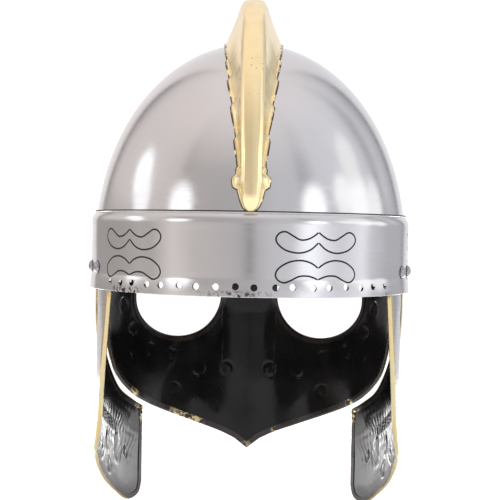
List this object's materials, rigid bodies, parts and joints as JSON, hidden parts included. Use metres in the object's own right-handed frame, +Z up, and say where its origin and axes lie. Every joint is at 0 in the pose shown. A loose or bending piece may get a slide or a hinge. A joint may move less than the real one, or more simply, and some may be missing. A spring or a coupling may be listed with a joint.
{
  "type": "crested masked helmet",
  "caption": "Raised steel helmet with a brow band, brass crest from brow to nape, face mask with eye openings and two riveted cheek plates.",
  "frame": {"origin": "the inside top of the skull, the point that rests on the wearer's head", "axes": "+Z up, -Y towards the face, +Y towards the nape, +X to the wearer's left"},
  "size_m": [0.2164, 0.248, 0.3578],
  "materials": {
    "skull_steel": "polished",
    "band_steel": "polished",
    "crest_brass": "polished",
    "mask_steel": "gloss black inside, polished steel outside",
    "cheek_steel": "gloss black inside, polished steel outside",
    "binding_brass": "polished, worn",
    "rivet_steel": "polished"
  },
  "bodies": {
    "root": {"skull": "skull_steel", "brow_band": "band_steel", "crest": "crest_brass", "face_mask": "mask_steel", "mask_binding": "binding_brass", "eye_binding_left": "binding_brass", "cheek_plate_left": "cheek_steel", "cheek_binding_left": "binding_brass", "cheek_rivet_left_1": "rivet_steel", "cheek_rivet_left_2": "rivet_steel", "mask_rivet_left_1": "rivet_steel", "mask_rivet_left_2": "rivet_steel", "mask_rivet_left_3": "rivet_steel", "eye_binding_right": "binding_brass", "cheek_plate_right": "cheek_steel", "cheek_binding_right": "binding_brass", "cheek_rivet_right_1": "rivet_steel", "cheek_rivet_right_2": "rivet_steel", "mask_rivet_right_1": "rivet_steel", "mask_rivet_right_2": "rivet_steel", "mask_rivet_right_3": "rivet_steel"}
  },
  "joints": []
}
